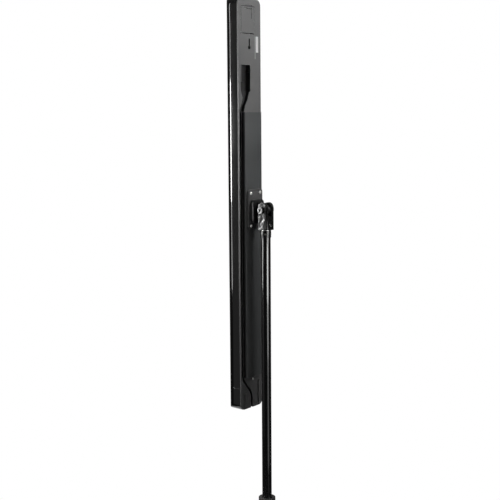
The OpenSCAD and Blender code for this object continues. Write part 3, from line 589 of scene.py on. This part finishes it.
# %% [markdown]
# ## Put the finishes on, and break the edges
#
# Real edges are never razor sharp: a mould is polished, a casting is fettled, a tube is deburred. A thin
# bevel catches a line of light and is most of what makes a surface look solid. The solids stay as they are:
# the bevel is a modifier on top. Weld joins the triangles first, and weighted normals keep the flats flat.

# %% Dress the solids
WELD_DISTANCE = 0.00001
SHARP_FROM = math.radians(34.0)
FLAT_WEIGHT = 80


def break_edges(piece, width):
    """Weld, a thin bevel on the sharp edges only, and weighted normals."""
    weld = piece.modifiers.new("weld", "WELD")
    weld.merge_threshold = WELD_DISTANCE
    bevel = piece.modifiers.new("bevel", "BEVEL")
    bevel.width = width
    bevel.segments = 2
    bevel.limit_method = "ANGLE"
    bevel.angle_limit = SHARP_FROM
    bevel.use_clamp_overlap = True
    bevel.harden_normals = True
    even = piece.modifiers.new("even normals", "WEIGHTED_NORMAL")
    even.keep_sharp = False
    even.weight = FLAT_WEIGHT


MM = 0.001
EDGE_MM = {
    "gloss_shell": 0.4, "cover_plastic": 0.7, "spine_plastic": 0.8, "bracket_paint": 0.6, "fork_paint": 0.9,
    "collar_plastic": 0.7, "knob_plastic": 0.6, "bright_steel": 0.25, "tray_plastic": 0.3, "rubber": 0.5,
}
OWN_FINISH = {"pad_short": "pad_rubber", "pad_long": "pad_rubber", "clevis_bolt": "black_oxide"}
dressed = 0
for entry in frame["record"]["subparts"]:
    slot = entry["material_slot"]
    solid = nodes[entry["node"]]
    own_finish = OWN_FINISH.get(entry["node"], slot)
    if not solid.material_slots:
        solid.data.materials.append(FINISHES[own_finish])
    for held in solid.material_slots:
        held.material = FINISHES[own_finish]
    if slot in EDGE_MM:
        break_edges(solid, EDGE_MM[slot] / 1000)
    dressed += 1
print("dressed solids:", dressed)

# %% [markdown]
# ## A small workshop for new pieces
#
# Screws, knobs and feet are turned parts, so one function turns a profile round an axis. A profile is a
# list of rings, each with a radius and a distance along the axis. Where the outline isn't round, as on a
# hand knob, the radius is a function of the angle. A second function cuts one shape out of another.

# %% Turn, cut and place
def axis_frame(origin, axis):
    """A frame at the origin whose z runs along the axis and whose y points up."""
    along = Vector(axis).normalized()
    nearly_upright = abs(along.z) >= 0.98
    hint = Vector((0, 1, 0)) if nearly_upright else UP
    side = hint.cross(along).normalized()
    top = along.cross(side)
    return Matrix.Translation(origin) @ Matrix((side, top, along)).transposed().to_4x4()


def turned(profile, place, steps=72):
    """A closed body from rings of (radius, distance along the axis), in millimetres."""
    build = bmesh.new()
    rings = []
    for radius, along in profile:
        if radius == 0:
            rings.append([build.verts.new(place @ Vector((0, 0, along * MM)))])
            continue
        ring = []
        for step in range(steps):
            angle = math.tau * step / steps
            reach = radius(angle) if callable(radius) else radius
            point = Vector((reach * math.cos(angle), reach * math.sin(angle), along))
            ring.append(build.verts.new(place @ (point * MM)))
        rings.append(ring)
    for low, high in zip(rings, rings[1:]):
        for step in range(steps):
            after = (step + 1) % steps
            if len(low) == 1:
                build.faces.new((low[0], high[step], high[after]))
            elif len(high) == 1:
                build.faces.new((low[step], high[0], low[after]))
            else:
                build.faces.new((low[step], high[step], high[after], low[after]))
    bmesh.ops.recalc_face_normals(build, faces=build.faces)
    return build


def into_object(name, build):
    """Turns a shape under construction into an object, and frees it."""
    data = bpy.data.meshes.new(name)
    build.to_mesh(data)
    build.free()
    piece = bpy.data.objects.new(name, data)
    bpy.context.scene.collection.objects.link(piece)
    return piece


def carve(build, cutter):
    """Cuts one shape out of another and gives back the result, ready to go on."""
    kept, tool = into_object("kept", build), into_object("tool", cutter)
    cut = kept.modifiers.new("cut", "BOOLEAN")
    cut.operation = "DIFFERENCE"
    cut.object = tool
    result = bmesh.new()
    result.from_object(kept, bpy.context.evaluated_depsgraph_get())
    bpy.data.objects.remove(kept)
    bpy.data.objects.remove(tool)
    return result


def set_piece(name, build, body, slot, stands_for=(), finish_name=None, sharp=40.0):
    """Gives a new piece its finish, named by the slot unless another is given, and its body."""
    piece = into_object(name, build)
    piece.data.materials.append(FINISHES[finish_name or slot])
    piece.data.shade_smooth()
    piece.data.set_sharp_from_angle(angle=math.radians(sharp))
    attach(piece, body)
    if stands_for:
        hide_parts(*stands_for)
    print(name, "faces:", len(piece.data.polygons))
    return piece


print("workshop ready")

# %% [markdown]
# ## Pan-head screws
#
# Four screws with cross recesses hold the bracket's plate. A pan head is flat at its rim and domed on top,
# and the dome is why it shines from every side. The recess is cut with two crossed wedges.

# %% Make the plate screws
PAN_RADIUS = 0.0038
PAN_PROFILE = [(0, -7.5), (1.9, -7.5), (2.0, -7.2), (2.0, 0), (3.5, 0), (3.8, 0.25), (3.8, 0.85),
               (3.66, 1.22), (3.3, 1.6), (2.7, 1.9), (1.8, 2.1), (0.9, 2.18), (0, 2.2)]
PAN_RECESS = (0.0042, 0.0009, 0.0028)
LEAN, LEAN_BY_X, LEAN_BY_Z = 20, 900, 500


def crossed(blank, place, height, recess, lean):
    """Cuts a cross recess into the top of a screw head. Lean is a turn about its axis."""
    for quarter in (0, 90):
        wedge = bmesh.new()
        spin = Matrix.Rotation(math.radians(quarter), 4, "Z")
        lift = Matrix.Translation((0, 0, height))
        size = Matrix.Diagonal((*recess, 1))
        bmesh.ops.create_cube(wedge, size=1.0, matrix=place @ lift @ lean @ spin @ size)
        blank = carve(blank, wedge)
    return blank


heads = bmesh.new()
for screw_x in (screws_low.x + PAN_RADIUS, screws_high.x - PAN_RADIUS):
    for screw_z in (screws_low.z + PAN_RADIUS, screws_high.z - PAN_RADIUS):
        place = axis_frame((screw_x, plate_face, screw_z), (0, 1, 0))
        lean = Matrix.Rotation(math.radians(LEAN + LEAN_BY_X * screw_x + LEAN_BY_Z * screw_z), 4, "Z")
        blank = crossed(turned(PAN_PROFILE, place), place, PAN_HEIGHT, PAN_RECESS, lean)
        holder = bpy.data.meshes.new("screw")
        blank.to_mesh(holder)
        heads.from_mesh(holder)
        blank.free()
        bpy.data.meshes.remove(holder)
set_piece("plate_screw_heads", heads, "panel", "bright_steel", ["plate_screws"])

SMALL_HEIGHT = 0.0016
SMALL_RECESS = (0.003, 0.0007, 0.0018)
SMALL_PROFILE = [(0, 0), (2.8, 0), (2.8, 0.7), (2.6, 1.05), (2.1, 1.35), (1.3, 1.53), (0, 1.6)]
small_low, small_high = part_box("spine_screw")
middle = ((small_low.x + small_high.x) / 2, small_low.y, (small_low.z + small_high.z) / 2)
small_place = axis_frame(middle, (0, 1, 0))
small_lean = Matrix.Rotation(math.radians(LEAN), 4, "Z")
small_head = crossed(turned(SMALL_PROFILE, small_place, steps=48), small_place, SMALL_HEIGHT, SMALL_RECESS,
                     small_lean)
set_piece("spine_screw_head", small_head, "panel", "bright_steel", ["spine_screw"])

# %% [markdown]
# ## Hand knobs
#
# Each clamp has a three-lobed knob that is moulded round its screw. The lobes blend into the hub, fine
# flutes run along their rims for grip, and the outer face is dished. All of that is one turned outline
# whose radius changes with the angle.

# %% Make the hand knobs
HUB, LOBE_OUT, LOBE, KNOB_DEPTH = 10.0, 12.0, 7.0, 18.0
FLUTES, FLUTE_DEPTH, BLEND = 54, 0.22, 9.0
LOBE_TURN, FIRST_LOBE = math.radians(120), math.radians(90)
OFF_LOBE_SHARE = 0.6
CLEARANCE = 0.15


def lobed(inset, fluted=0.0):
    """The knob's radius at each angle: the larger of the hub and the nearest lobe, softly joined."""
    def reach(angle):
        off = (angle - FIRST_LOBE) % LOBE_TURN
        off = min(off, LOBE_TURN - off)
        aside = LOBE_OUT * math.sin(off)
        lobe = HUB * OFF_LOBE_SHARE
        if abs(aside) < LOBE:
            lobe = LOBE_OUT * math.cos(off) + math.sqrt(LOBE ** 2 - aside ** 2)
        joined = (HUB ** BLEND + lobe ** BLEND) ** (1 / BLEND)
        ripple = fluted * FLUTE_DEPTH * (1 + math.cos(FLUTES * angle)) / 2
        return joined - CLEARANCE - inset - ripple
    return reach


KNOB_PROFILE = [(0, 0), (9.0, 0), (9.8, 0.7), (9.8, 3.9), (lobed(1.6), 4.0), (lobed(0.5), 4.3),
                (lobed(0.0), 5.0), (lobed(0.0, 1.0), 6.0), (lobed(0.0, 1.0), 15.6), (lobed(0.0), 16.6),
                (lobed(0.5), 17.4), (lobed(1.4), 17.9), (lobed(2.6), KNOB_DEPTH), (7.4, KNOB_DEPTH),
                (7.0, 17.7), (6.6, 17.0), (6.4, 16.8), (0, 16.6)]
KNOBS = (("clamp_knob", "clamp_turn", "clamp"), ("collar_knob", "collar_turn", "collar_clamp"))
for knob, joint, body in KNOBS:
    hub = Vector(joints[joint]["pos_m"])
    axis = Vector(joints[joint]["axis"]).normalized()
    outer = max((vertex.co - hub).dot(axis) for vertex in nodes[knob].data.vertices)
    start = hub + axis * (outer - KNOB_DEPTH * MM)
    build = turned(KNOB_PROFILE, axis_frame(start, axis), steps=216)
    set_piece(knob + "_moulded", build, body, "knob_plastic", [knob])

# %% [markdown]
# ## Rubber feet
#
# The boots are pushed over the tube ends. Their rings give when the boot is forced on, the ball at the end
# rolls a little as the leg opens, and a flat is worn where it stands on the floor.

# %% Make the rubber feet
FOOT_BALL, FOOT_CENTRE = 12.0, 0.010
BOOT_PROFILE = [(0, -26), (8.3, -26), (9.5, -25.7), (10.0, -25.0)]
RINGS, FIRST_RING, RING_STEP = 4, -23.2, 4.0
for ring in range(RINGS):
    low = FIRST_RING + ring * RING_STEP
    BOOT_PROFILE += [(10.0, low), (9.9, low + 0.3), (9.2, low + 0.7), (9.1, low + 1.1), (9.2, low + 1.5),
                     (9.9, low + 1.9), (10.0, low + 2.2)]
BALL_FROM = math.asin(10.0 / FOOT_BALL)
BALL_STEPS = 14
for step in range(BALL_STEPS + 1):
    angle = BALL_FROM + (math.pi - BALL_FROM) * step / BALL_STEPS
    reach = FOOT_BALL * math.sin(angle) if step < BALL_STEPS else 0
    BOOT_PROFILE.append((reach, -FOOT_BALL * math.cos(angle)))
for leg in (1, 2, 3):
    hinge = Vector(joints["leg_fold_%d" % leg]["pos_m"])
    outward = Vector((hinge.x - tilt_axis.x, hinge.y - tilt_axis.y, 0)).normalized()
    foot_name = "leg_foot_%d" % leg
    tip = max((vertex.co - hinge).dot(outward) for vertex in nodes[foot_name].data.vertices)
    ball = hinge + outward * (tip - FOOT_BALL * MM)
    ball.z = FOOT_CENTRE
    boot = turned(BOOT_PROFILE, axis_frame(ball, ball - hinge), steps=64)
    whole = boot.verts[:] + boot.edges[:] + boot.faces[:]
    bmesh.ops.bisect_plane(boot, geom=whole, plane_co=(0, 0, 0), plane_no=(0, 0, -1), clear_outer=True)
    rim = [edge for edge in boot.edges if edge.is_boundary]
    bmesh.ops.edgeloop_fill(boot, edges=rim)
    set_piece(foot_name + "_boot", boot, "leg_%d" % leg, "rubber", [foot_name])

# %% [markdown]
# ## The printed strip
#
# Beside the blank sticker runs a narrow grey strip. It is a thin film with round corners and carries no
# lettering. A film this thin still shows its edge, so it is a sheet with a thickness, not a painted area.

# %% Lay the printed strip
STRIP_GAP, STRIP_WIDTH, STRIP_FILM, STRIP_CORNER = 0.0009, 0.0034, 0.00012, 0.0008
STRIP_BELOW = 0.0145
CORNER_STEPS = 6
label_low, label_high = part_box("rating_label")


def film(low_x, high_x, low_z, high_z, base_y, thick, corner):
    """A thin sheet with round corners that lies on the back of the panel."""
    build = bmesh.new()
    around = []
    left, right = low_x + corner, high_x - corner
    bottom, top_line = low_z + corner, high_z - corner
    for middle_x, middle_z, first in ((right, top_line, 0), (left, top_line, 90), (left, bottom, 180),
                                      (right, bottom, 270)):
        for step in range(CORNER_STEPS + 1):
            angle = math.radians(first + 90 * step / CORNER_STEPS)
            point_x = middle_x + corner * math.cos(angle)
            around.append(Vector((point_x, base_y, middle_z + corner * math.sin(angle))))
    sheet = build.faces.new([build.verts.new(point) for point in around])
    raised = bmesh.ops.extrude_face_region(build, geom=[sheet])
    top = [item for item in raised["geom"] if isinstance(item, bmesh.types.BMVert)]
    bmesh.ops.translate(build, vec=(0, thick, 0), verts=top)
    bmesh.ops.recalc_face_normals(build, faces=build.faces)
    return build


strip_x = label_high.x + STRIP_GAP
strip = film(strip_x, strip_x + STRIP_WIDTH, label_low.z - STRIP_BELOW, label_high.z, label_low.y, STRIP_FILM,
             STRIP_CORNER)
set_piece("printed_strip", strip, "panel", "label_white", finish_name="print_grey")

# %% [markdown]
# ## The floor
#
# A plain pale disc carries the soft shadow of the tripod. It fades out at its rim, so there is no horizon
# and the surroundings stay white. It throws no light back up, so the low half of the panel stays deep.

# %% Lay the floor
FLOOR_RADIUS = 1.33
FADE_FROM = 0.95
FADE_TO = FLOOR_RADIUS - 0.02
FLOOR_DROP = 0.0004
floor_mesh = bmesh.new()
bmesh.ops.create_circle(floor_mesh, cap_ends=True, segments=128, radius=FLOOR_RADIUS)
floor_data = bpy.data.meshes.new("floor")
floor_mesh.to_mesh(floor_data)
floor_mesh.free()
floor = bpy.data.objects.new("floor", floor_data)
floor.location = (tilt_axis.x, tilt_axis.y, -FLOOR_DROP)
floor.visible_diffuse = False
bpy.context.scene.collection.objects.link(floor)
material, tree, shader = start_finish("pale_floor")
place = add(tree, "ShaderNodeTexCoord").outputs["Object"]
from_middle = add(tree, "ShaderNodeVectorMath", {0: place}, operation="LENGTH")
faded = remap(tree, from_middle.outputs["Value"], FADE_FROM, FADE_TO, 1.0, 0.0)
tree.links.new(faded, shader.inputs["Alpha"])
speckle = use(tree, GRAIN, Size=400.0, Patch_Size=3.0)
pale = blend_colours(tree, speckle.outputs["Patches"], grey(0.8), grey(0.84))
tree.links.new(pale, shader.inputs["Base Color"])
shader.inputs["Roughness"].default_value = 0.85
floor_data.materials.append(material)
print("floor radius:", FLOOR_RADIUS)
